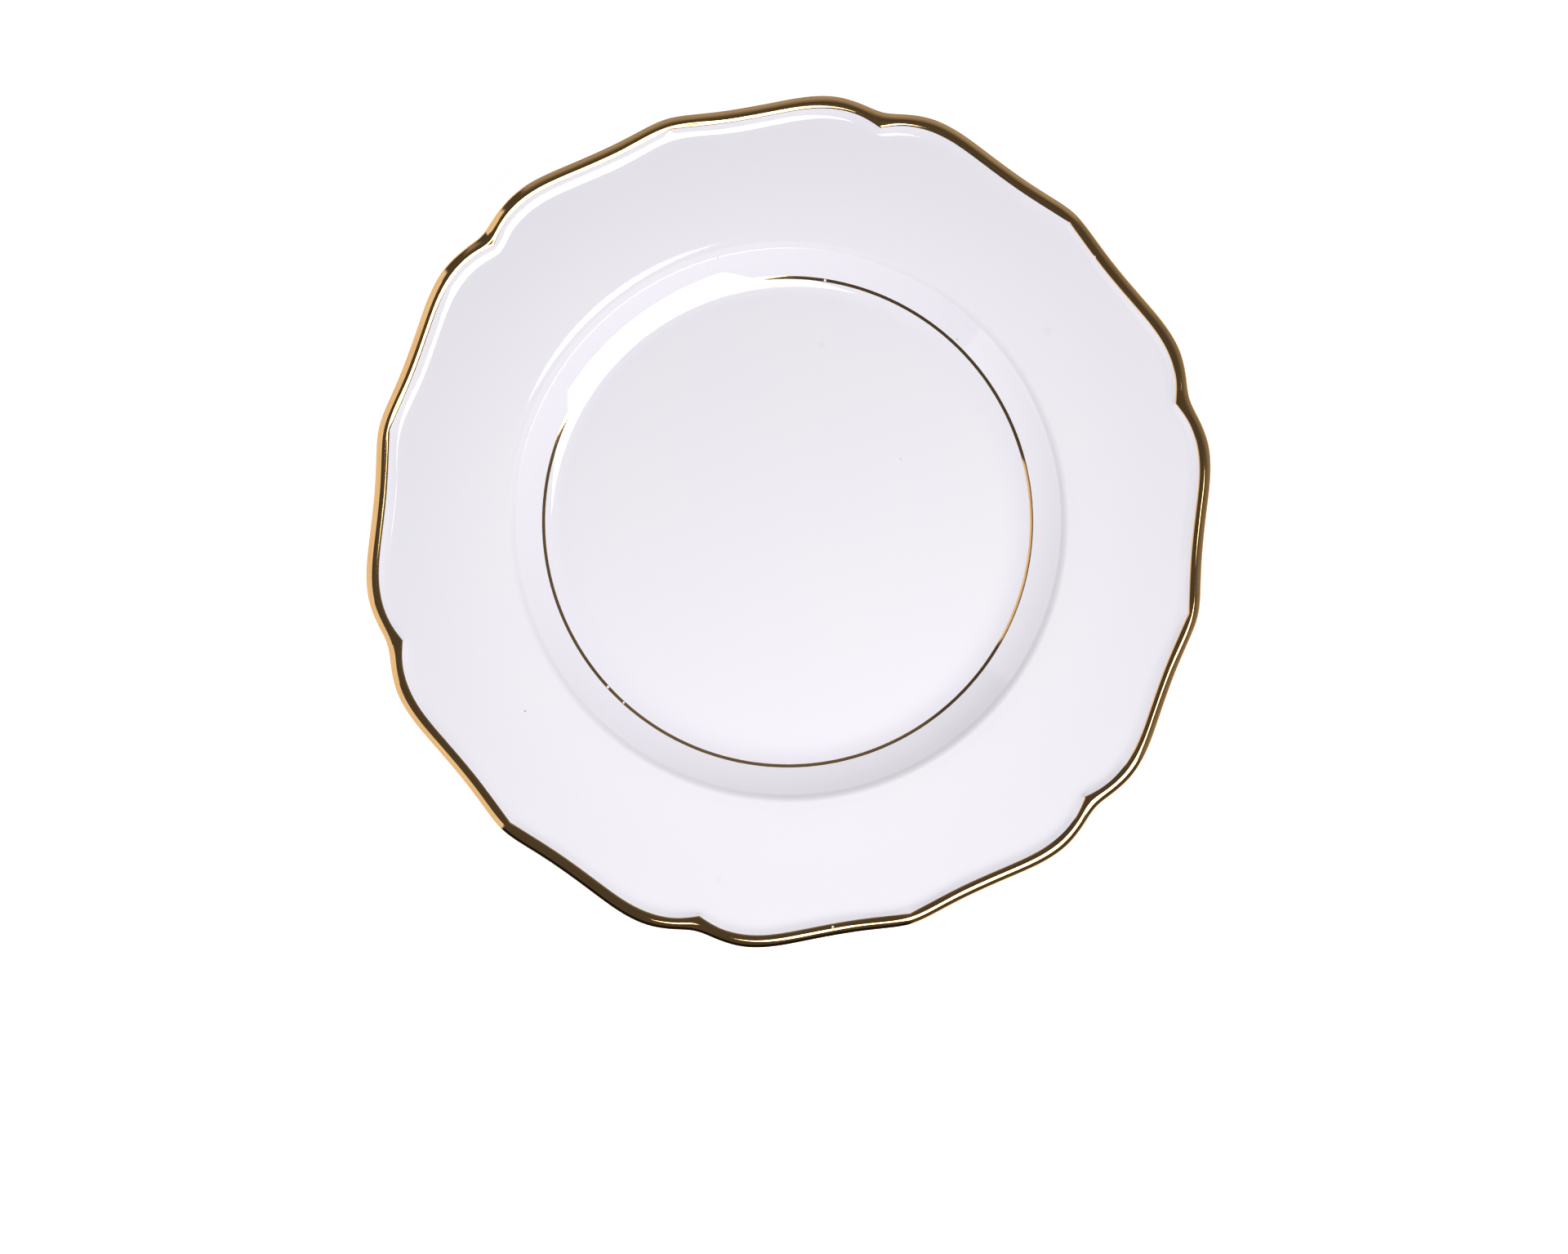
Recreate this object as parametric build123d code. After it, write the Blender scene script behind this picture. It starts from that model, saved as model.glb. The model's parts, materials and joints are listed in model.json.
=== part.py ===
"""China dinner plate: a six-lobed porcelain plate with a raised, gilded lip.

Millimetres, +Z up. The origin is on the plate's axis, in the plane of its foot ring. A notch between two
lobes points along +X, and the outline repeats every 60 degrees, with a mirror line every 30.
"""
from build123d import *
from math import cos, radians, sin, tan
import os

# ---- driving dimensions -----------------------------------------------------------------------------

LOBES = 6
HALF_LOBE = 180 / LOBES            # degrees from a notch to the point in the middle of two lobes

FLOOR_HEIGHT = 8.0                 # top of the well's floor
FLOOR_RADIUS = 71.0                # where the floor starts to turn up
LOWER_COVE_RADIUS = 19.0           # hollow curve next to the floor
LOWER_COVE_SLOPE = 21.5            # slope where it gives way to a slower curve, degrees
UPPER_COVE_RADIUS = 35.0           # that slower curve, up to the shoulder
UPPER_COVE_SLOPE = 35.0            # the steepest slope of the plate's top
SHOULDER_RADIUS = 4.5              # rounded shoulder between cove and rim
RIM_SLOPE = 8.0                    # slope of the rim's top
UNDER_SLOPE = 9.1                  # slope of the rim's underside, degrees: the rim thins outwards

WELL_THICKNESS = 4.0
FOOT_INNER = 75.0
FOOT_OUTER = 79.2
FOOT_CORNER = 0.8
FOOT_TOP = (81.0, 5.2)             # where the foot's outer wall meets the back of the cove
FOOT_TOP_RADIUS = 2.0
BACK_TURN = (88.4, 10.56)          # where the back of the cove meets the rim's underside
BACK_TURN_RADIUS = 9.0
RECESS_CORNER = 2.5                # hollow corner between the recess and the foot

JOIN_RADIUS = 116.0                # the turned middle of the plate ends here and the scalloped rim begins
TURNED_REACH = 122.0               # the turned section is drawn a little past the join, then trimmed,
PAST_AXIS = -10.0                  # and a little past the axis

# Edge of the plate, notch to point: (degrees, radius, change of radius per degree).
OUTER_EDGE = [
    (0.0, 132.65, 0.0),
    (3.2, 133.9, 0.48),
    (7.0, 135.0, 0.0),
    (14.5, 132.7, -0.39),
    (21.5, 131.25, 0.0),
    (26.5, 132.1, 0.3),
    (30.0, 132.85, 0.0),
]
# Inner line of the gold band: a sharp V behind each notch and a sharp point behind each outer point.
BAND_LINE = [
    (0.0, 127.6, 0.85),
    (3.0, 129.95, 0.58),
    (7.0, 131.0, 0.0),
    (13.5, 129.2, -0.4),
    (21.5, 127.38, 0.0),
    (30.0, 129.4, 0.42),
]
# The lip, from the rim's top over the crown to its outermost line and round underneath. Each row is
# (how far out, height above the rim's own slope, lean of the surface's normal from upright).
# "How far out" is millimetres inside the band's line if negative, else a share of the band's width.
LIP = [
    (-5.2, 0.0, -8.0),
    (-3.6, 0.08, -13.0),
    (-2.2, 0.3, -20.0),
    (-1.0, 0.62, -26.0),
    (0.0, 0.98, -28.0),
    (0.22, 1.16, -12.0),
    (0.36, 1.17, 0.0),
    (0.5, 1.05, 12.0),
    (0.72, 0.61, 26.0),
    (0.85, 0.17, 42.0),
    (0.94, -0.27, 60.0),
    (1.0, -0.91, 90.0),
    (0.95, -1.8, 117.0),
    (0.8, -2.46, 147.0),
    (0.6, -2.7, 170.9),
]
STEPS = 10                         # points along each half lobe, besides its first
SLIVER = 0.001                     # share of a half lobe over which its direction is read at an end

GLAZE = 0.2                        # thickness of the glaze
GILDING = 0.1                      # thickness given to the gold
BARE_FOOT = (76.0, 78.3)           # ring of the foot that is wiped clean of glaze
GOLD_HEIGHTS = (10.0, 18.55, 30.0) # below all the gold, between its top and its underside, above it all
GOLD_WRAP = 0.9                    # width of the strip that wraps underneath
WELL_LINE_RADIUS = 77.4
WELL_LINE_WIDTH = 1.0
WELL_LINE_HEIGHTS = (8.0, 12.0)    # below and above the well line
BEYOND = 150.0                     # a radius beyond the whole plate

# ---- the turned profile -----------------------------------------------------------------------------


def arc_end(start, radius, slope_from, slope_to, hollow):
    """End point of an arc that starts at start and turns from one slope to another, going outwards."""
    a, b = radians(slope_from), radians(slope_to)
    if hollow:
        return start[0] + radius * (sin(b) - sin(a)), start[1] + radius * (cos(a) - cos(b))
    return start[0] + radius * (sin(a) - sin(b)), start[1] + radius * (cos(b) - cos(a))


FLOOR_EDGE = (FLOOR_RADIUS, FLOOR_HEIGHT)
COVE_MIDDLE = arc_end(FLOOR_EDGE, LOWER_COVE_RADIUS, 0, LOWER_COVE_SLOPE, hollow=True)
COVE_END = arc_end(COVE_MIDDLE, UPPER_COVE_RADIUS, LOWER_COVE_SLOPE, UPPER_COVE_SLOPE, hollow=True)
RIM_START = arc_end(COVE_END, SHOULDER_RADIUS, UPPER_COVE_SLOPE, RIM_SLOPE, hollow=False)


def rim_top(radius):
    """Height of the rim's plain sloping top."""
    return RIM_START[1] + (radius - RIM_START[0]) * tan(radians(RIM_SLOPE))


def rim_under(radius):
    """Height of the rim's plain sloping underside."""
    return BACK_TURN[1] + (radius - BACK_TURN[0]) * tan(radians(UNDER_SLOPE))


def turned_section():
    """Half section of the plate, drawn a little past the axis and past the join."""
    recess = FLOOR_HEIGHT - WELL_THICKNESS
    lower_cove = TangentArc(FLOOR_EDGE, COVE_MIDDLE, tangent=(1, 0))
    upper_cove = TangentArc(COVE_MIDDLE, COVE_END, tangent=lower_cove % 1)
    shoulder = TangentArc(COVE_END, RIM_START, tangent=upper_cove % 1)
    rim_end = (TURNED_REACH, rim_top(TURNED_REACH))
    under = FilletPolyline(
        (TURNED_REACH, rim_under(TURNED_REACH)),
        BACK_TURN,
        FOOT_TOP,
        (FOOT_OUTER, 0),
        (FOOT_INNER, 0),
        (FOOT_INNER, recess),
        (PAST_AXIS, recess),
        radius=[BACK_TURN_RADIUS, FOOT_TOP_RADIUS, FOOT_CORNER, FOOT_CORNER, RECESS_CORNER],
    )
    lines = [
        Line((PAST_AXIS, FLOOR_HEIGHT), FLOOR_EDGE),
        lower_cove,
        upper_cove,
        shoulder,
        Line(RIM_START, rim_end),
        Line(rim_end, under @ 0),
        under,
        Line(under @ 1, (PAST_AXIS, FLOOR_HEIGHT)),
    ]
    return make_face(lines)


def turned_middle(inset):
    """The plate out to the join, with its whole surface moved in by inset."""
    section = turned_section()
    if inset:
        section = offset(section, -inset, kind=Kind.INTERSECTION)
    trim = Pos(JOIN_RADIUS / 2, 0) * Rectangle(JOIN_RADIUS, BEYOND)
    return revolve(Plane.XZ * (section & trim), Axis.Z)


# ---- the scalloped rim ------------------------------------------------------------------------------


def along(keys, angle):
    """Radius at an angle from the notch: cubic curves from key to key, with the slope each key gives."""
    for (a0, r0, s0), (a1, r1, s1) in zip(keys, keys[1:]):
        if angle <= a1:
            break
    span = a1 - a0
    t = (angle - a0) / span
    start = (1 + 2 * t) * (1 - t) ** 2 * r0 + t * (1 - t) ** 2 * span * s0
    return start + t * t * (3 - 2 * t) * r1 + t * t * (t - 1) * span * s1


def lip_point(row, angle, inset):
    """Radius and height of one line of the lip, at an angle from the notch."""
    out, rise, lean = row
    band = along(BAND_LINE, angle)
    width = along(OUTER_EDGE, angle) - band
    radius = band + (out if out < 0 else out * width)
    height = rim_top(radius) + rise
    return radius - inset * sin(radians(lean)), height - inset * cos(radians(lean))


def half_lobe_point(half, share, point_at):
    """Point of a lobed curve, a share of the way along one of its half lobes, counted from the +X notch."""
    from_notch = HALF_LOBE * (share if half % 2 == 0 else 1 - share)
    radius, height = point_at(from_notch)
    turn = radians(HALF_LOBE * (half + share))
    return Vector(radius * cos(turn), radius * sin(turn), height)


def lobed_wire(point_at):
    """Closed wire round the plate with one spline for each half lobe.

    point_at gives the radius and height at an angle from the notch. Each spline keeps its own direction at
    both ends, so that a V or a point stays sharp and everything else runs on smoothly.
    """
    edges = []
    for half in range(2 * LOBES):
        points = [half_lobe_point(half, step / STEPS, point_at) for step in range(STEPS + 1)]
        leaving = half_lobe_point(half, SLIVER, point_at) - points[0]
        arriving = points[-1] - half_lobe_point(half, 1 - SLIVER, point_at)
        edges.append(Spline(points, tangents=[leaving, arriving]))
    return Wire(edges)


def join_wire(height):
    """Circle at the join, in as many arcs as a lobed wire has splines."""
    arcs = []
    for half in range(2 * LOBES):
        ends = [half_lobe_point(half, share, lambda angle: (JOIN_RADIUS, height)) for share in (0, 0.5, 1)]
        arcs.append(ThreePointArc(*ends))
    return Wire(arcs)


def scalloped_rim(inset):
    """The rim beyond the join, with its whole surface moved in by inset."""
    top = rim_top(JOIN_RADIUS) - inset / cos(radians(RIM_SLOPE))
    bottom = rim_under(JOIN_RADIUS) + inset / cos(radians(UNDER_SLOPE))
    wires = [join_wire(top)]
    for row in LIP:
        wires.append(lobed_wire(lambda angle, row=row: lip_point(row, angle, inset)))
    wires.append(join_wire(bottom))
    puck = Solid.make_loft(wires, ruled=True)
    return puck - Cylinder(JOIN_RADIUS, BEYOND)


def whole_plate(inset):
    """The whole plate as one solid, with its surface moved in by inset."""
    return turned_middle(inset) + scalloped_rim(inset)


# ---- zones that divide the layers -------------------------------------------------------------------


def round_band(inner, outer, bottom, top):
    """Upright ring between two radii and two heights."""
    ring = Circle(outer) - Circle(inner)
    return extrude(Pos(0, 0, bottom) * ring, top - bottom)


def lobed_column(keys, shrink, bottom, top):
    """Upright column whose outline is a lobed curve, made smaller by shrink."""
    outline = lobed_wire(lambda angle: (along(keys, angle) - shrink, bottom))
    return extrude(Face(outline), top - bottom)


def gilded_zone():
    """Where the rim is gilded: from the band's line outwards, and a narrow strip underneath."""
    bottom, middle, top = GOLD_HEIGHTS
    over = 1
    upper = round_band(JOIN_RADIUS, BEYOND, middle, top)
    upper -= lobed_column(BAND_LINE, 0, middle - over, top + over)
    under = round_band(JOIN_RADIUS, BEYOND, bottom, middle)
    under -= lobed_column(OUTER_EDGE, GOLD_WRAP, bottom - over, middle + over)
    return upper + under


# ---- the pieces -------------------------------------------------------------------------------------


def make_pieces():
    """The fired body and the layers on it, as a node name for each.

    What the gold fills is carved out of the glazed plate first, and the glaze is what is then left around
    the body.
    """
    glazed = whole_plate(0)
    under_gold = whole_plate(GILDING)
    half_width = WELL_LINE_WIDTH / 2
    line_zone = round_band(WELL_LINE_RADIUS - half_width, WELL_LINE_RADIUS + half_width, *WELL_LINE_HEIGHTS)
    rim_space = gilded_zone() - under_gold
    line_space = line_zone - under_gold
    body = whole_plate(GLAZE) + (glazed & round_band(*BARE_FOOT, -1, 1))
    glaze = glazed - rim_space - line_space - body
    recess_glaze, outer_glaze = glaze.solids().sort_by(lambda field: field.volume)
    return {
        "porcelain_body": body,
        "outer_glaze": outer_glaze,
        "foot_recess_glaze": recess_glaze,
        "rim_gilding": glazed & rim_space,
        "well_gold_line": glazed & line_space,
    }


os.makedirs("parts", exist_ok=True)
for name, piece in make_pieces().items():
    export_step(piece, f"parts/{name}.step")
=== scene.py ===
"""A six-lobed china dinner plate: glossy cool white porcelain with a gilded lip and a gold line in its well.

It is built in metres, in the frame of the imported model: +Z up, the foot ring stands on z = 0, and a notch
between two lobes points along +X. The plate lies on a pale table and is seen from almost straight above.
"""

import json
from math import ceil, cos, radians, sin, tan

import bpy
import numpy as np
from mathutils import Matrix, Vector


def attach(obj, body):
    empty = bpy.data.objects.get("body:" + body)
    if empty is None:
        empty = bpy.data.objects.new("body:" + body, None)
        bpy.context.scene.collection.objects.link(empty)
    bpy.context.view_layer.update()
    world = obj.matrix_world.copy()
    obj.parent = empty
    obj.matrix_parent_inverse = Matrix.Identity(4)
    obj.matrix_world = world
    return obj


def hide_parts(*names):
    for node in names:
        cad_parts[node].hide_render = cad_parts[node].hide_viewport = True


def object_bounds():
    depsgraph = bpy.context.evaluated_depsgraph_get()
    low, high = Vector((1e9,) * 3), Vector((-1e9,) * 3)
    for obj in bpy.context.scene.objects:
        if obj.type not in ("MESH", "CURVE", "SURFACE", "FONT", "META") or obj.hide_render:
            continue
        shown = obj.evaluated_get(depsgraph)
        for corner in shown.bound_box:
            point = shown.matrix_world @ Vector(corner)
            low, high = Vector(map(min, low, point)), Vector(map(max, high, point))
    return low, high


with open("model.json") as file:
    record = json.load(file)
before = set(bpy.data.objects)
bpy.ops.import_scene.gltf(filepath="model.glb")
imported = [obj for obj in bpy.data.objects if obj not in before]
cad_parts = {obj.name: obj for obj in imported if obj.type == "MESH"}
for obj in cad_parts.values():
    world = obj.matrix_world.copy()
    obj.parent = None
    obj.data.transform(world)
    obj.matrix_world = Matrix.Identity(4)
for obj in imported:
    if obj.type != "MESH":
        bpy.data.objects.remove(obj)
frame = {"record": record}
CAD_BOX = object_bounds()
MOUNTS = {mount["name"]: mount for mount in frame["record"]["mounts"]}

# ---- sizes ------------------------------------------------------------------------------------------
# Design millimetres, which MM turns into the frame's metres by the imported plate's real width.

DESIGN_WIDTH = 268.366                         # over the gilded rim along X
MM = (CAD_BOX[1].x - CAD_BOX[0].x) / DESIGN_WIDTH
DEGREES = 180 / np.pi                          # in a radian

LOBES = 6
HALF_LOBE = 180 / LOBES                        # degrees from a notch to the point in the middle of a lobe

FLOOR_HEIGHT = MOUNTS["well_floor"]["pos_m"][2] / MM
FLOOR_RADIUS = 71.0
LOWER_COVE_RADIUS = 19.0
LOWER_COVE_SLOPE = 21.5
UPPER_COVE_RADIUS = 41.5
UPPER_COVE_SLOPE = 34.6
SHOULDER_CORNER = 0.18                         # the cove's end slope runs on this far to meet the rim's
SHOULDER_RADIUS = 1.1
RIM_SLOPE = 8.0
UNDER_SLOPE = 9.1
JOIN_RADIUS = 116.0                            # the plain rim ends here and the scalloped lip begins

RECESS_HEIGHT = 4.0
RECESS_CORNER = 2.5
FOOT_INNER = 75.0
FOOT_OUTER = 79.2
FOOT_CORNER = 0.8
FOOT_TOP = (81.0, 5.2)
FOOT_TOP_RADIUS = 2.0
BACK_TURN = (88.4, 10.56)
BACK_TURN_RADIUS = 9.0
BARE_FOOT = (76.0, 78.3)                       # ring of the foot that is wiped clean of glaze

GLAZE = 0.2
GILDING = 0.1
UNDER_GOLD = 0.11                              # how deep the glaze lies where gold covers it
GOLD_BEAD = 0.015                              # how far the line of gold in the well stands proud
WELL_LINE_RADIUS = 77.4
WELL_LINE_WIDTH = 1.0

# Edge of the plate from a notch to a point: (degrees, radius, change of radius per degree).
OUTER_EDGE = [
    (0.0, 132.65, 0.0), (3.2, 133.9, 0.48), (7.0, 135.0, 0.0), (14.5, 132.7, -0.39),
    (21.5, 131.25, 0.0), (26.5, 132.1, 0.3), (30.0, 132.85, 0.0),
]
# Inner line of the gold band, sharp behind each notch and each point.
BAND_LINE = [
    (0.0, 127.6, 0.85), (3.0, 129.95, 0.58), (7.0, 131.0, 0.0),
    (13.5, 129.2, -0.4), (21.5, 127.38, 0.0), (30.0, 129.4, 0.42),
]
# The relief under the gold follows the same line, but runs round the notches and points in a soft curve.
RELIEF_LINE = [(0.0, 128.2, 0.0), *BAND_LINE[1:-1], (30.0, 129.1, 0.0)]
# A soft ridge that the roller left just outside the shoulder: (radius, rise above the rim's slope, lean).
ROLLER_RIDGE = [
    (88.9, 0.0, -7.7), (89.6, 0.01, -9.5), (90.6, 0.045, -11.0), (91.5, 0.08, -9.3), (92.3, 0.09, -8.0),
]
# The lip inside the gold: (millimetres inside the band's line, rise above the rim's slope, lean).
LIP_FOOT = [(5.2, 0.0, -8.0), (3.6, 0.02, -9.5), (2.4, 0.13, -17.0), (1.4, 0.39, -27.0), (0.6, 0.71, -31.0)]
# The lip under the gold: (share of the relief's width, rise above the rim's slope, lean).
LIP_CROWN = [
    (0.0, 0.98, -33.0), (0.22, 1.16, -12.0), (0.36, 1.17, 0.0), (0.5, 1.05, 12.0), (0.72, 0.61, 26.0),
    (0.85, 0.17, 42.0), (0.94, -0.27, 60.0), (1.0, -0.91, 90.0), (0.95, -1.8, 117.0), (0.8, -2.46, 147.0),
]
LIP_BACK = (0.6, -2.7, 170.9)                  # the same, past the gold's edge underneath

FLOOR_RINGS = (0, 0.1, 0.3, 0.55, 0.8)         # shares of the floor's radius with a station of their own
RECESS_RINGS = (0.8, 0.5, 0.2, 0)
LEAST_LEAN = -45.0                             # leans run from here to 315 degrees
HALF_LOBE_STEPS = 50                           # columns of faces in half a lobe
CROWDING = 0.7                                 # how much closer the columns stand at the notches and points
# Largest turn in degrees and length of one face:
SMOOTH = (4.0, 6.0)                            # on the eating side and in the foot's recess,
AT_BACK = (6.0, 12.0)                          # on the back,
ON_GOLD = (2.5, 0.5)                           # on the gilded lip,
ON_LINE = (0.5, 0.12)                          # on the gold line,
GROUND = (1.0, 0.4)                            # on the bare foot,
PLAIN = (24.0, 20.0)                           # and where another layer hides it
SEARCHED = (0.25, 0.25)                        # fine enough to look a radius up on the section
SHARP_EDGE = 40.0                              # degrees, from which an edge between faces stays sharp
UV_MAP = "RoundAndAcross"

# ---- the plate's section ----------------------------------------------------------------------------
# A station is (radius, height, lean): a point of the section for every angle round the plate, where lean is
# how far the surface's outward normal leans outwards from upright, in degrees.

steps = np.arange(2 * LOBES * HALF_LOBE_STEPS) / HALF_LOBE_STEPS
ANGLES = HALF_LOBE * (steps - CROWDING * np.sin(2 * np.pi * steps) / (2 * np.pi))
FROM_NOTCH = np.abs((ANGLES + HALF_LOBE) % (2 * HALF_LOBE) - HALF_LOBE)


def along(keys):
    """Radius of a lobed curve at every angle: cubic curves from key to key, with the keys' slopes."""
    at, radius, slope = np.array(keys).T
    k = np.clip(np.searchsorted(at, FROM_NOTCH, side="right") - 1, 0, len(at) - 2)
    span = at[k + 1] - at[k]
    t = (FROM_NOTCH - at[k]) / span
    start = (1 + 2 * t) * (1 - t) ** 2 * radius[k] + t * (1 - t) ** 2 * span * slope[k]
    return start + t**2 * (3 - 2 * t) * radius[k + 1] + t**2 * (t - 1) * span * slope[k + 1]


BAND = along(BAND_LINE)
RELIEF = along(RELIEF_LINE)
RELIEF_WIDTH = along(OUTER_EDGE) - RELIEF


def station(radius, height, lean):
    """A station with its own value for every angle, whether it is given arrays or plain numbers."""
    return np.array([np.broadcast_to(value, ANGLES.shape) for value in (radius, height, lean)], float)


def arc(start, turn_radius, lean_to, parts=2):
    """Stations along a round turn, which moves by the turn's radius times the change in the normal."""
    radius, height, lean_from = start
    swing = turn_radius if lean_to > lean_from else -turn_radius
    found = []
    for lean in np.linspace(lean_from, lean_to, parts + 1)[1:]:
        out = swing * (sin(radians(lean)) - sin(radians(lean_from)))
        up = swing * (cos(radians(lean)) - cos(radians(lean_from)))
        found.append((radius + out, height + up, lean))
    return found


def lean_between(start, end):
    """Lean of the normal on a straight run from one point of the section to the next."""
    lean = float(np.degrees(np.arctan2(start[1] - end[1], end[0] - start[0])))
    return lean + 360 if lean < LEAST_LEAN else lean


def fillet(before, corner, after, turn_radius, parts=2):
    """Stations of a round turn of a given radius, laid into the corner between two straight runs."""
    lean_in, lean_out = lean_between(before, corner), lean_between(corner, after)
    setback = turn_radius * tan(radians(abs(lean_out - lean_in)) / 2)
    a = radians(lean_in)
    start = (corner[0] - setback * cos(a), corner[1] + setback * sin(a), lean_in)
    return [start, *arc(start, turn_radius, lean_out, parts)]


def rim_top(radius):
    """Height of the rim's plain sloping top."""
    return RIM_START[1] + (radius - RIM_START[0]) * tan(radians(RIM_SLOPE))


def rim_under(radius):
    """Height of the rim's plain sloping underside."""
    return BACK_TURN[1] + (radius - BACK_TURN[0]) * tan(radians(UNDER_SLOPE))


def lip_station(share, rise, lean):
    """A station of the lip at a share of the relief's width, or where that is 0, on the gold's own line."""
    radius = RELIEF + share * RELIEF_WIDTH if share else BAND
    return station(radius, rim_top(radius) + rise, lean)


FLOOR_EDGE = (FLOOR_RADIUS, FLOOR_HEIGHT, 0.0)
LOWER_COVE = arc(FLOOR_EDGE, LOWER_COVE_RADIUS, -LOWER_COVE_SLOPE)
UPPER_COVE = arc(LOWER_COVE[-1], UPPER_COVE_RADIUS, -UPPER_COVE_SLOPE)
COVE_RISE = radians(UPPER_COVE_SLOPE)
RIM_START = (
    UPPER_COVE[-1][0] + SHOULDER_CORNER * cos(COVE_RISE),
    UPPER_COVE[-1][1] + SHOULDER_CORNER * sin(COVE_RISE),
)
SHOULDER = fillet(UPPER_COVE[-1], RIM_START, (JOIN_RADIUS, rim_top(JOIN_RADIUS)), SHOULDER_RADIUS, parts=3)

FLOOR = [station(share * FLOOR_RADIUS, FLOOR_HEIGHT, 0) for share in FLOOR_RINGS]
COVE = [station(*point) for point in (FLOOR_EDGE, *LOWER_COVE, *UPPER_COVE, *SHOULDER)]
RIM = [station(radius, rim_top(radius) + rise, lean) for radius, rise, lean in ROLLER_RIDGE]
RIM.append(station(JOIN_RADIUS, rim_top(JOIN_RADIUS), -RIM_SLOPE))
for inside, rise, lean in LIP_FOOT[:-1]:
    RIM.append(station(RELIEF - inside, rim_top(RELIEF - inside) + rise, lean))
inside, rise, lean = LIP_FOOT[-1]
RIM.append(station(BAND - inside, rim_top(BAND - inside) + rise, lean))
CROWN = [lip_station(*row) for row in LIP_CROWN]

JOIN_UNDER = (JOIN_RADIUS, rim_under(JOIN_RADIUS))
FOOT_OUT, FOOT_IN = (FOOT_OUTER, 0.0), (FOOT_INNER, 0.0)
RECESS_EDGE, RECESS_MIDDLE = (FOOT_INNER, RECESS_HEIGHT), (0.0, RECESS_HEIGHT)
BACK = [lip_station(*LIP_BACK), station(*JOIN_UNDER, lean_between(JOIN_UNDER, BACK_TURN))]
for corner in (
    fillet(JOIN_UNDER, BACK_TURN, FOOT_TOP, BACK_TURN_RADIUS),
    fillet(BACK_TURN, FOOT_TOP, FOOT_OUT, FOOT_TOP_RADIUS),
    fillet(FOOT_TOP, FOOT_OUT, FOOT_IN, FOOT_CORNER, parts=3),
):
    BACK += [station(*point) for point in corner]
FOOT_BOTTOM = [station(radius, 0, 180) for radius in (BARE_FOOT[1], BARE_FOOT[0])]
RECESS = []
for corner in (
    fillet(FOOT_OUT, FOOT_IN, RECESS_EDGE, FOOT_CORNER, parts=4),
    fillet(FOOT_IN, RECESS_EDGE, RECESS_MIDDLE, RECESS_CORNER, parts=4),
):
    RECESS += [station(*point) for point in corner]
RECESS += [station(share * FOOT_INNER, RECESS_HEIGHT, 180) for share in RECESS_RINGS]


def drawn(stations, fineness):
    """Points and normals of the section through a run of stations: (rows, columns, 4).

    From one station to the next it is a cubic curve that leaves and arrives along the stations' own
    directions. Its tangents are the chord over the squared cosine of a quarter of the turn, which makes
    a turn come out round. Each row holds radius, height and the two parts of the outward normal.
    """
    turn_step, long_step = fineness
    rows = []
    for start, end in zip(stations, stations[1:]):
        chord = end[:2] - start[:2]
        length = np.hypot(*chord)
        turn = np.radians(end[2] - start[2])
        reach = length / np.cos(turn / 4) ** 2
        leans = np.radians([start[2], end[2]])
        leaving, arriving = [reach * np.array([np.cos(lean), -np.sin(lean)]) for lean in leans]
        count = ceil(max(np.degrees(np.abs(turn)).max() / turn_step, length.max() / long_step, 1))
        t = (np.arange(count + 1) / count)[:, None, None]
        place = (1 + 2 * t) * (1 - t) ** 2 * start[:2] + t * (1 - t) ** 2 * leaving
        place = place + t**2 * (3 - 2 * t) * end[:2] + t**2 * (t - 1) * arriving
        way = 6 * t * (1 - t) * chord + (1 - t) * (1 - 3 * t) * leaving + t * (3 * t - 2) * arriving
        way = way / np.linalg.norm(way, axis=1, keepdims=True)
        run = np.stack([place[:, 0], place[:, 1], -way[:, 1], way[:, 0]], axis=2)
        rows.append(run if len(rows) == 0 else run[1:])
    return np.concatenate(rows)


def moved_in(rows, inset):
    """Radius and height of each point of a drawn section, moved in from the surface by inset."""
    return rows[:, :, :2] - inset * rows[:, :, 2:]


def between_stations(stations, at):
    """The station where a run of stations passes a radius, on the same cubic curves as the section."""
    rows = drawn(stations, SEARCHED)[:, 0]
    k = np.searchsorted(rows[:, 0], at)
    share = (at - rows[k - 1, 0]) / (rows[k, 0] - rows[k - 1, 0])
    radius, height, out, up = rows[k - 1] + share * (rows[k] - rows[k - 1])
    return station(radius, height, np.degrees(np.arctan2(out, up)))


# ---- mesh -------------------------------------------------------------------------------------------


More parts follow.
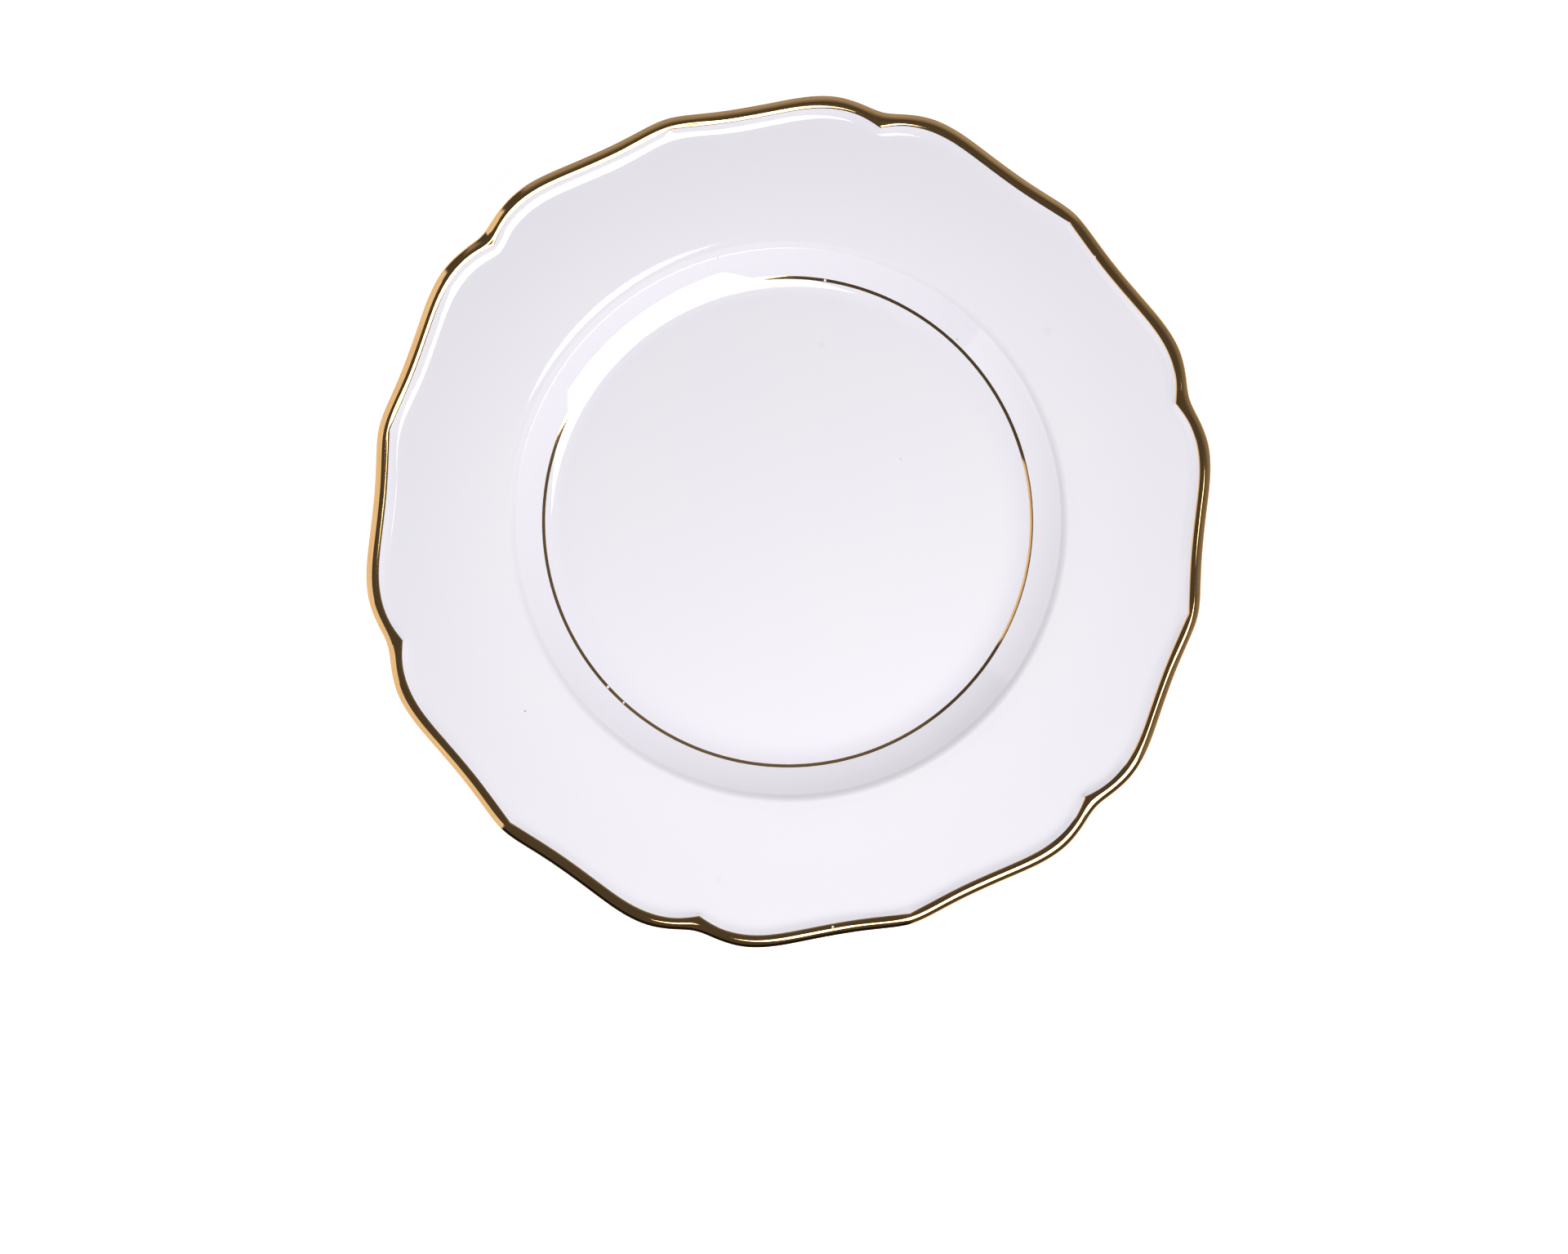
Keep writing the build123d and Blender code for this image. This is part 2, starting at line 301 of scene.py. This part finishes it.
def turned_mesh(name, section, finish, poles):
    """A closed surface: a section of (radius, height) rows carried round the axis, one column an angle.

    Row by row, x and y are the radius times the cosine and sine of the angle. With poles, the first and last
    rows lie on the axis and become one point each. Without, the last row joins the first one again. The UV
    map holds the share of the way round and the millimetres along the section.
    """
    rows, columns = section.shape[:2]
    turn = np.radians(ANGLES)
    radius, height = section[:, :, 0] * MM, section[:, :, 1] * MM
    points = np.stack([radius * np.cos(turn), radius * np.sin(turn), height], axis=2)
    lengths = np.linalg.norm(np.diff(section, axis=0), axis=2)
    distance = np.concatenate([np.zeros((1, columns)), np.cumsum(lengths, axis=0)])
    if not poles:
        closing = np.linalg.norm(section[0] - section[-1], axis=1)
        distance = np.concatenate([distance, distance[-1:] + closing])

    last = rows - 1 if poles else rows
    row, column = np.meshgrid(np.arange(last), np.arange(columns), indexing="ij")
    corner_rows = np.stack([row, row + 1, row + 1, row], axis=2)
    corner_columns = np.stack([column, column, column + 1, column + 1], axis=2)
    index = (corner_rows % rows) * columns + corner_columns % columns
    share_round = np.append(ANGLES / 360, 1.0)[corner_columns]
    uv = np.stack([share_round, distance[corner_rows, corner_columns % columns]], axis=3)
    points = points.reshape(-1, 3)

    if poles:
        # The rows on the axis shrink to one point, so their faces keep three corners.
        first_pole, last_pole = 0, len(points) - 1
        index[0, :, [0, 3]] = first_pole
        index[-1, :, [1, 2]] = last_pole
        loops = [index[0][:, [0, 1, 2]], index[1:-1], index[-1][:, [0, 1, 3]]]
        uvs = [uv[0][:, [0, 1, 2]], uv[1:-1], uv[-1][:, [0, 1, 3]]]
    else:
        loops, uvs = [index], [uv]
    sizes = np.concatenate([np.full(part.size // part.shape[-1], part.shape[-1]) for part in loops])
    corners = np.concatenate([part.ravel() for part in loops])
    used, corners = np.unique(corners, return_inverse=True)

    mesh = bpy.data.meshes.new(name)
    mesh.vertices.add(len(used))
    mesh.vertices.foreach_set("co", points[used].astype(np.float32).ravel())
    mesh.loops.add(len(corners))
    mesh.loops.foreach_set("vertex_index", corners.astype(np.int32).ravel())
    mesh.polygons.add(len(sizes))
    mesh.polygons.foreach_set("loop_start", (np.cumsum(sizes) - sizes).astype(np.int32))
    mesh.update(calc_edges=True)
    layer = mesh.uv_layers.new(name=UV_MAP)
    places = np.concatenate([part.reshape(-1, 2) for part in uvs])
    layer.data.foreach_set("uv", places.astype(np.float32).ravel())
    mesh.validate()
    mesh.shade_smooth()
    mesh.set_sharp_from_angle(angle=radians(SHARP_EDGE))
    mesh.materials.append(finish)
    piece = bpy.data.objects.new(name, mesh)
    bpy.context.scene.collection.objects.link(piece)
    return piece


# ---- shader maths -----------------------------------------------------------------------------------


class Field:
    """Something that changes over a surface. Sums and products of fields add Math nodes."""

    def __init__(self, tree, socket):
        self.tree = tree
        self.socket = socket

    def maths(self, operation, *values):
        """A new field: one step of maths on given fields and numbers."""
        inputs = dict(enumerate(values))
        return self.tree.node("ShaderNodeMath", {"operation": operation}, inputs)

    def __add__(self, other):
        return self.maths("ADD", self, other)

    def __sub__(self, other):
        return self.maths("SUBTRACT", self, other)

    def __mul__(self, other):
        return self.maths("MULTIPLY", self, other)

    def __truediv__(self, other):
        return self.maths("DIVIDE", self, other)

    def __pow__(self, other):
        return self.maths("POWER", self, other)

    def __rsub__(self, other):
        return self.maths("SUBTRACT", other, self)

    __radd__ = __add__
    __rmul__ = __mul__

    def over(self, low, high):
        """0 up to low and 1 from high, with a soft step between them. It falls if low is the larger."""
        inputs = {"Value": self, "From Min": low, "From Max": high}
        return self.tree.node("ShaderNodeMapRange", {"interpolation_type": "SMOOTHSTEP"}, inputs)

    def within(self, low, high, soft):
        """1 between low and high, fading to 0 over a soft edge."""
        return self.over(low - soft, low) * self.over(high + soft, high)


class Tree:
    """The node tree of a material or of the world, emptied and ready for new nodes."""

    def __init__(self, owner):
        owner.use_nodes = True
        self.nodes = owner.node_tree.nodes
        self.links = owner.node_tree.links
        self.nodes.clear()

    def node(self, kind, settings=None, inputs=None, output=0):
        """Adds a node: its settings first, then the value or the link of each named or numbered socket."""
        made = self.nodes.new(kind)
        for name, value in (settings or {}).items():
            setattr(made, name, value)
        for key, value in (inputs or {}).items():
            socket = self.pick(made.inputs, key)
            if isinstance(value, Field):
                self.links.new(value.socket, socket)
            else:
                socket.default_value = value
        return Field(self, self.pick(made.outputs, output)) if len(made.outputs) else made

    @staticmethod
    def pick(sockets, key):
        """A socket by its number, or by its name: where several share a name, the one in use."""
        if isinstance(key, int):
            return sockets[key]
        return next(socket for socket in sockets if socket.name == key and socket.enabled)

    def finish(self, shader):
        """Ends a material in one shader with the given sockets."""
        surface = self.node("ShaderNodeBsdfPrincipled", inputs=shader)
        self.node("ShaderNodeOutputMaterial", inputs={"Surface": surface})

    def place(self):
        """Object coordinates, in metres."""
        return self.node("ShaderNodeTexCoord", output="Object")

    def parts(self, vector):
        """The three parts of a vector as fields."""
        split = self.node("ShaderNodeSeparateXYZ", inputs={0: vector})
        return [Field(self, socket) for socket in split.socket.node.outputs]

    def plan(self, place):
        """The two level parts of a place, and how far it is from the plate's axis."""
        x, y = self.parts(place)[:2]
        return x, y, (x**2 + y**2) ** 0.5

    def vector(self, x, y, z):
        """A vector from three fields or numbers."""
        return self.node("ShaderNodeCombineXYZ", inputs={0: x, 1: y, 2: z})

    def noise(self, vector, scale, detail=3.0, roughness=0.5):
        """Noise from 0 to 1 on a vector."""
        inputs = {"Vector": vector, "Scale": scale, "Detail": detail, "Roughness": roughness}
        return self.node("ShaderNodeTexNoise", inputs=inputs)

    def blend(self, share, start, end):
        """Colour that goes from start to end as share goes from 0 to 1."""
        inputs = {"Factor": share, "A": start, "B": end}
        return self.node("ShaderNodeMix", {"data_type": "RGBA"}, inputs, output="Result")

    def spot(self, vector, radius, azimuth, size, soft=0.4):
        """1 inside a small round spot on the plate, and 0 outside it. Its sizes are design millimetres."""
        centre = (radius * MM * cos(radians(azimuth)), radius * MM * sin(radians(azimuth)), 0)
        flat = self.node("ShaderNodeVectorMath", {"operation": "MULTIPLY"}, {0: vector, 1: (1, 1, 0)})
        ends = {0: flat, 1: centre}
        away = self.node("ShaderNodeVectorMath", {"operation": "DISTANCE"}, ends, output="Value")
        return away.over(size * MM * (1 + soft), size * MM * (1 - soft))


def new_material(name):
    """An empty material and its tree."""
    material = bpy.data.materials.new(name)
    return material, Tree(material)


def bumped(tree, height, strength, depth):
    """Normal of a surface that rises by a height from 0 to 1, times depth in design millimetres."""
    inputs = {"Strength": strength, "Distance": depth * MM, "Height": height}
    return tree.node("ShaderNodeBump", inputs=inputs)


# ---- finishes ---------------------------------------------------------------------------------------

PORCELAIN_WHITE = (0.842, 0.818, 0.880, 1)     # cool white of the fired glaze over its body
POOLED_WHITE = (0.822, 0.800, 0.872, 1)        # where the glaze has run together a little thicker
WARM_WHITE = (0.848, 0.822, 0.868, 1)
RIM_SHADE_WHITE = (0.812, 0.790, 0.850, 1)          # painted shade: the rim a little darker all round towards the lip
# Light bleeds through the clay outside the shoulder, so the cove's shade runs on over this width, in
# millimetres, while the glaze's shine turns sharply. The depth carries the cove's slope on at its start.
# The start is rounded over so many millimetres, and the end over so much of the width.
BLEED_WIDTH = 2.5
BLEED_START = 0.35
BLEED_END = 0.1
BLEED_DEPTH = BLEED_WIDTH * tan(radians(UPPER_COVE_SLOPE - RIM_SLOPE))
IRON_SPECK = (0.30, 0.24, 0.22, 1)
COBALT_HAZE = (0.70, 0.70, 0.86, 1)
GOLD = (0.93, 0.60, 0.27, 1)
THIN_GOLD = (0.80, 0.47, 0.20, 1)              # where the brush left less of it
BISCUIT = (0.78, 0.74, 0.68, 1)
BISCUIT_GREY = (0.66, 0.62, 0.57, 1)           # where the bare foot has picked up kiln dust

# How the glaze's tones lie. Rings are (start, end, soft edge) or (start, end), in design millimetres.
POOLED_RING, POOLED_SHARE, POOLED_LEAST = (72.5, 84.0, 6.0), 0.8, 0.6
# painted shade: the ring over which the rim is darkened towards the lip
RIM_SHADE_RING = (88.0, 125.0)
COAT_LEAST = 0.94
GLAZE_ROUGHNESS, UNEVEN = 0.3, 0.1
COBALT_SHARE, IRON_SHARE = 0.25, 0.8           # how much of their colour the marks show
RIPPLE_DEPTH = 0.03                            # of the glaze's surface, as a share of the shade's depth
FINE_RIPPLE = 0.05                             # how much of it is fine
# Lumps of noise in a metre, and the stretch of noise over which one tone gives way to the next.
CLOUDS, RIPPLES, FINE_RIPPLES, SHEEN = 22.0, 45.0, 420.0, 35.0
GOLD_PATCHES, GRAINS, DUST, TABLE_CLOUDS = 60.0, 1400.0, 90.0, 3.0
CLOUD_TONES, STREAK_TONES, RUBBED_TONES, DUST_TONES = (0.35, 0.75), (0.3, 0.8), (0.42, 0.52), (0.4, 0.75)

# Marks of the kiln in the glaze: (radius, azimuth, radius of the mark), in design millimetres and degrees.
IRON_SPECKS = [(102.6, -161.4, 0.28), (78.9, 30.1, 0.22), (86.5, 88.0, 0.25), (41.0, 12.0, 0.18)]
COBALT_SPOTS = [(101.8, 19.3, 1.3), (115.3, -118.3, 1.1), (57.0, 62.0, 1.0)]
# Where the brush skipped: (radius, azimuth, half the length of the gap).
LINE_SKIPS = [(77.4, -154.5, 0.45), (77.4, -149.3, 0.35), (77.4, 64.2, 0.4)]
BAND_NICKS = [(127.5, 23.9, 0.5), (128.6, -101.0, 0.35)]
STROKE_TURNS = 11.0                            # how often the streaks change in a radian of the round
GOLD_ROUGHNESS, STREAKED, RUBBED = 0.045, 0.03, 0.06
BISCUIT_ROUGHNESS, GRAINED = 0.72, 0.2


def marks(tree, place, spots):
    """1 on any of a list of small round spots."""
    total = tree.spot(place, *spots[0])
    for spot in spots[1:]:
        total = total.maths("MAXIMUM", total, tree.spot(place, *spot))
    return total


def glaze_finish():
    """Glossy white glaze: barely uneven in tone and surface, pooled in the cove, with painted shade
    darkening the rim towards the lip, and a few kiln marks.
    """
    material, tree = new_material("white_glaze")
    place = tree.place()
    x, y, from_axis = tree.plan(place)
    radius = from_axis / MM
    clouds = tree.noise(place, CLOUDS, detail=2.0)
    pooling = radius.within(*POOLED_RING) * (POOLED_LEAST + (1 - POOLED_LEAST) * clouds)
    tone = tree.blend(clouds.over(*CLOUD_TONES), PORCELAIN_WHITE, WARM_WHITE)
    tone = tree.blend(pooling * POOLED_SHARE, tone, POOLED_WHITE)
    # painted shade: the rim darkened all round towards the lip
    tone = tree.blend(radius.over(*RIM_SHADE_RING), tone, RIM_SHADE_WHITE)
    tone = tree.blend(marks(tree, place, COBALT_SPOTS) * COBALT_SHARE, tone, COBALT_HAZE)
    tone = tree.blend(marks(tree, place, IRON_SPECKS) * IRON_SHARE, tone, IRON_SPECK)
    wide, fine = tree.noise(place, RIPPLES, detail=1.0), tree.noise(place, FINE_RIPPLES, detail=1.0)
    ripple = (1 - FINE_RIPPLE) * wide + FINE_RIPPLE * fine
    outside = radius.maths("SMOOTH_MAX", radius - RIM_START[0], 0.0, BLEED_START)
    run_on = radius.maths("SMOOTH_MIN", outside / BLEED_WIDTH, 1.0, BLEED_END)
    bleeding = run_on - run_on**3 / 3
    shader = {
        "Base Color": tone,
        "Roughness": GLAZE_ROUGHNESS + UNEVEN * tree.noise(place, SHEEN),
        "Specular IOR Level": 0.0,
        "Coat Weight": COAT_LEAST + (1 - COAT_LEAST) * clouds,
        "Coat IOR": 1.62,
        "Coat Roughness": 0.035,
        "Normal": bumped(tree, bleeding + ripple * RIPPLE_DEPTH, strength=1.0, depth=BLEED_DEPTH),
    }
    tree.finish(shader)
    return material


def gold_finish(name, skips, hairs, wear):
    """Bright gold laid on with a brush: streaks along the stroke, rubbed patches, and a few small gaps.

    Hairs is how many streaks lie in a millimetre across it, and wear is how much its patches are rubbed.
    """
    material, tree = new_material(name)
    place = tree.place()
    x, y, from_axis = tree.plan(place)
    across = tree.parts(tree.node("ShaderNodeUVMap", {"uv_map": UV_MAP}))[1]
    stroke = tree.vector(STROKE_TURNS * (x / from_axis), STROKE_TURNS * (y / from_axis), across * hairs)
    streaks = tree.noise(stroke, 1.0, detail=4.0, roughness=0.6)
    patches = tree.noise(place, GOLD_PATCHES, detail=2.0)
    gaps = marks(tree, place, skips)
    rubbed = (patches * streaks).over(*RUBBED_TONES) * wear
    gold = tree.blend(streaks.over(*STREAK_TONES), THIN_GOLD, GOLD)
    shader = {
        "Base Color": tree.blend(gaps, gold, PORCELAIN_WHITE),
        "Metallic": 1 - gaps,
        "Roughness": GOLD_ROUGHNESS + STREAKED * streaks + RUBBED * rubbed,
        "IOR": 1.6,
        "Normal": bumped(tree, streaks, strength=0.025, depth=0.006),
    }
    tree.finish(shader)
    return material


def biscuit_finish():
    """Bare fired clay: matt, finely grained, ground smooth and a little grey where the foot stands."""
    material, tree = new_material("biscuit")
    place = tree.place()
    grain = tree.noise(place, GRAINS, detail=4.0, roughness=0.65)
    dust = tree.noise(place, DUST, detail=4.0)
    shader = {
        "Base Color": tree.blend(dust.over(*DUST_TONES), BISCUIT, BISCUIT_GREY),
        "Roughness": BISCUIT_ROUGHNESS + GRAINED * grain,
        "Normal": bumped(tree, grain, strength=0.6, depth=0.05),
    }
    tree.finish(shader)
    return material


# ---- the plate's pieces -----------------------------------------------------------------------------

GLAZE_FINISH = glaze_finish()
BISCUIT_FINISH = biscuit_finish()
BAND_GOLD = gold_finish("band_gold", BAND_NICKS, hairs=3.0, wear=1.0)
LINE_GOLD = gold_finish("line_gold", LINE_SKIPS, hairs=5.0, wear=0.6)
LINE_EDGES = [between_stations(COVE, WELL_LINE_RADIUS + side * WELL_LINE_WIDTH / 2) for side in (-1, 1)]


def outer_glaze():
    """Glaze on the well, cove, rim, lip and back, in one skin round the body as far as the bare foot.

    It is level with the gold where they meet, and steps down to lie under each gilded stretch.
    """
    line_in, line_out = LINE_EDGES
    parts = [
        (drawn([*FLOOR, *COVE[:2], line_in], SMOOTH), 0),
        (drawn(LINE_EDGES, SMOOTH), UNDER_GOLD),
        (drawn([line_out, *COVE[2:], *RIM, CROWN[0]], SMOOTH), 0),
        (drawn(CROWN, PLAIN), UNDER_GOLD),
        (drawn([CROWN[-1], *BACK, FOOT_BOTTOM[0]], AT_BACK), 0),
    ]
    outside = np.concatenate([moved_in(rows, inset) for rows, inset in parts])
    inside = moved_in(drawn([*FLOOR, *COVE, *RIM, *CROWN, *BACK, FOOT_BOTTOM[0]], PLAIN), GLAZE)
    section = np.concatenate([outside, inside[::-1]])
    return turned_mesh("glaze_over_plate", section, GLAZE_FINISH, poles=True)


def recess_glaze():
    """Glaze inside the foot ring, up its inner wall and over the shallow recess."""
    run = [FOOT_BOTTOM[1], *RECESS]
    section = np.concatenate([moved_in(drawn(run, PLAIN), GLAZE)[::-1], moved_in(drawn(run, SMOOTH), 0)])
    return turned_mesh("glaze_inside_foot", section, GLAZE_FINISH, poles=True)


def fired_body():
    """The clay body under the glaze. Only the ground ring that the plate stands on comes to the surface."""
    parts = [
        (drawn([*FLOOR, *COVE, *RIM, *CROWN, *BACK, FOOT_BOTTOM[0]], PLAIN), GLAZE),
        (drawn(FOOT_BOTTOM, GROUND), 0),
        (drawn([FOOT_BOTTOM[1], *RECESS], PLAIN), GLAZE),
    ]
    section = np.concatenate([moved_in(rows, inset) for rows, inset in parts])
    return turned_mesh("fired_body", section, BISCUIT_FINISH, poles=True)


def gilded_lip():
    """Gold over the crown of the lip, from its inner line over the edge to a narrow strip underneath."""
    outside = moved_in(drawn(CROWN, ON_GOLD), 0)
    inside = moved_in(drawn(CROWN, PLAIN), GILDING)
    return turned_mesh("gilded_lip", np.concatenate([outside, inside[::-1]]), BAND_GOLD, poles=False)


def well_line():
    """The painted gold line in the cove: a low bead that is highest in its middle."""
    rows = drawn(LINE_EDGES, ON_LINE)
    share = np.linspace(-1, 1, len(rows))[:, None, None]
    outside = rows[:, :, :2] + GOLD_BEAD * (1 - share**2) * rows[:, :, 2:]
    section = np.concatenate([outside, moved_in(rows, GILDING)[::-1]])
    return turned_mesh("well_line", section, LINE_GOLD, poles=False)


for piece, node, material_slot in (
    (outer_glaze(), "outer_glaze", "glaze"),
    (recess_glaze(), "foot_recess_glaze", "glaze"),
    (fired_body(), "porcelain_body", "biscuit"),
    (gilded_lip(), "rim_gilding", "gilding"),
    (well_line(), "well_gold_line", "gilding"),
):
    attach(piece, "root")
    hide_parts(node)

# ---- table, light and camera ------------------------------------------------------------------------

VIEW_TURN = 17.05                              # degrees by which the camera sees +X turned
VIEW_TILT = 3.0                                # the camera leans this far to the left of upright
VIEW_WIDTH = 494.8                             # how much the camera takes in at the height of the rim
VIEW_SHIFT = (-0.00365, -0.06719)              # shares of that width, and the plate lies high in the view
LENS, SENSOR = 200.0, 36.0
RIM_HEIGHT = 20.0

TABLE_SIZE = 3000.0
TABLE_WHITE = (0.93, 0.93, 0.94, 1)
TABLE_MOTTLE = (0.95, 0.95, 0.95, 1)
TABLE_GLOW = 0.62

# Directions are (azimuth, height above the horizon) in degrees, azimuth as the camera sees it.
# A lamp is (name, way, distance, side of its square pane, watts, whether reflections show it).
LAMPS = [
    ("softbox", (-50.0, 58.2), 1200.0, 735.0, 10.9, True),
    ("near_lamp", (-92.0, 60.0), 360.0, 160.0, 0.28, False),
]
# What matt surfaces see of the room: an even sky, a little brighter one way.
SKY = 0.30
SKY_LEAN = 0.15
SKY_WAY = (-75.0, 0.0)
# What shiny surfaces see of it. The table doesn't show in them: the room is as bright in its place.
# Strengths are numbers, sectors of azimuth are (start, end, soft edge), and slopes are (start, end) in
# degrees from the zenith.
CEILING = 0.08
IN_TABLES_PLACE, TABLE_SLOPE = 1.2, (97.0, 107.0)
DULL, DULL_SLOPE = 0.42, (22.0, 75.0)
DULL_SECTOR = (45.0, 118.0, 8.0)
HALF_DULL_SECTOR = (-22.0, 37.0, 8.0)
DARKENED, DARK_SLOPE = 0.93, (60.0, 80.0)      # how much of the light the dark side takes away
DARK_SECTOR = (-133.0, -73.0, 6.0)
CARD = 0.95
# The card has two sectors, because azimuth jumps inside it. In part of the first one it stands higher.
CARD_SECTORS = [(143.0, 250.0, 3.0), (-300.0, -133.0, 1.0)]
TALL_SECTOR = (149.0, 195.0, 2.0)
CARD_TOP, CARD_RISE, CARD_EDGE = 39.0, 6.5, 3.0
BEHIND = 0.97                                  # what the camera sees past the table's edge


def way(azimuth, height):
    """Unit vector towards a direction, given by its azimuth as the camera sees it."""
    a, h = radians(azimuth - VIEW_TURN), radians(height)
    return Vector((cos(a) * cos(h), sin(a) * cos(h), sin(h)))


def table():
    """A plain white table, bright enough to look evenly white round the plate."""
    material, tree = new_material("table")
    mottle = tree.noise(tree.place(), TABLE_CLOUDS)
    shader = {
        "Base Color": tree.blend(mottle, TABLE_WHITE, TABLE_MOTTLE),
        "Roughness": 0.9,
        "Emission Color": TABLE_WHITE,
        "Emission Strength": TABLE_GLOW,
    }
    tree.finish(shader)
    half = TABLE_SIZE / 2 * MM
    mesh = bpy.data.meshes.new("table")
    corners = [(-half, -half, 0), (half, -half, 0), (half, half, 0), (-half, half, 0)]
    mesh.from_pydata(corners, [], [(0, 1, 2, 3)])
    mesh.materials.append(material)
    piece = bpy.data.objects.new("table", mesh)
    piece.visible_glossy = False
    bpy.context.scene.collection.objects.link(piece)


def lamp(name, towards, distance, side, power, shows):
    """A square soft light that faces the middle of the plate."""
    light = bpy.data.lights.new(name, "AREA")
    light.size = side * MM
    light.energy = power
    made = bpy.data.objects.new(name, light)
    direction = way(*towards)
    made.location = direction * distance * MM
    made.rotation_euler = direction.to_track_quat("Z", "Y").to_euler()
    made.visible_camera = False
    made.visible_glossy = shows
    bpy.context.scene.collection.objects.link(made)


def surroundings():
    """The room: an even sky for matt surfaces, and for shiny ones a dim ceiling, a bright table and sides.

    Of the sides, one is dull, one nearly black, and on the left a white card stands round the plate.
    """
    world = bpy.data.worlds.new("room")
    bpy.context.scene.world = world
    tree = Tree(world)
    x, y, z = tree.parts(tree.node("ShaderNodeTexCoord", output="Generated"))
    zenith = z.maths("ARCCOSINE", z) * DEGREES
    azimuth = y.maths("ARCTAN2", y, x) * DEGREES

    def sector(start, end, soft):
        return azimuth.within(start - VIEW_TURN, end - VIEW_TURN, soft)

    dull_side = sector(*DULL_SECTOR) + 0.5 * sector(*HALF_DULL_SECTOR)
    card_top = CARD_TOP - CARD_RISE * sector(*TALL_SECTOR)
    card_side = sector(*CARD_SECTORS[0]) + sector(*CARD_SECTORS[1])
    card = card_side * zenith.over(card_top, card_top + CARD_EDGE)
    seen = CEILING + zenith.over(*TABLE_SLOPE) * (IN_TABLES_PLACE - CEILING)
    seen = seen * (1 - sector(*DARK_SECTOR) * zenith.over(*DARK_SLOPE) * DARKENED)
    seen = seen * (1 - dull_side) + dull_side * (CEILING + zenith.over(*DULL_SLOPE) * (DULL - CEILING))
    seen = seen * (1 - card) + card * CARD
    lean = x * way(*SKY_WAY).x + y * way(*SKY_WAY).y
    sky = SKY * (1 + SKY_LEAN * lean)
    matt = tree.node("ShaderNodeLightPath", output="Is Diffuse Ray")
    straight = tree.node("ShaderNodeLightPath", output="Is Camera Ray")
    strength = matt * sky + (1 - matt) * ((1 - straight) * seen + straight * BEHIND)
    light = tree.node("ShaderNodeBackground", inputs={"Color": (1, 1, 1, 1), "Strength": strength})
    tree.node("ShaderNodeOutputWorld", inputs={"Surface": light})


def camera():
    """A long lens almost straight above the plate."""
    data = bpy.data.cameras.new("camera")
    data.lens, data.sensor_width = LENS, SENSOR
    data.shift_x, data.shift_y = VIEW_SHIFT
    right, up = way(0, 0), way(90, 0)
    back = Vector((0, 0, 1)) * cos(radians(VIEW_TILT)) - right * sin(radians(VIEW_TILT))
    distance = VIEW_WIDTH * MM * LENS / SENSOR
    target = Vector((0, 0, RIM_HEIGHT * MM))
    axes = Matrix((up.cross(back), up, back)).transposed().to_4x4()
    eye = bpy.data.objects.new("camera", data)
    eye.matrix_world = Matrix.Translation(target + back * distance) @ axes
    bpy.context.scene.collection.objects.link(eye)
    bpy.context.scene.camera = eye


table()
for one in LAMPS:
    lamp(*one)
surroundings()
camera()
bpy.context.scene.view_settings.view_transform = "Standard"
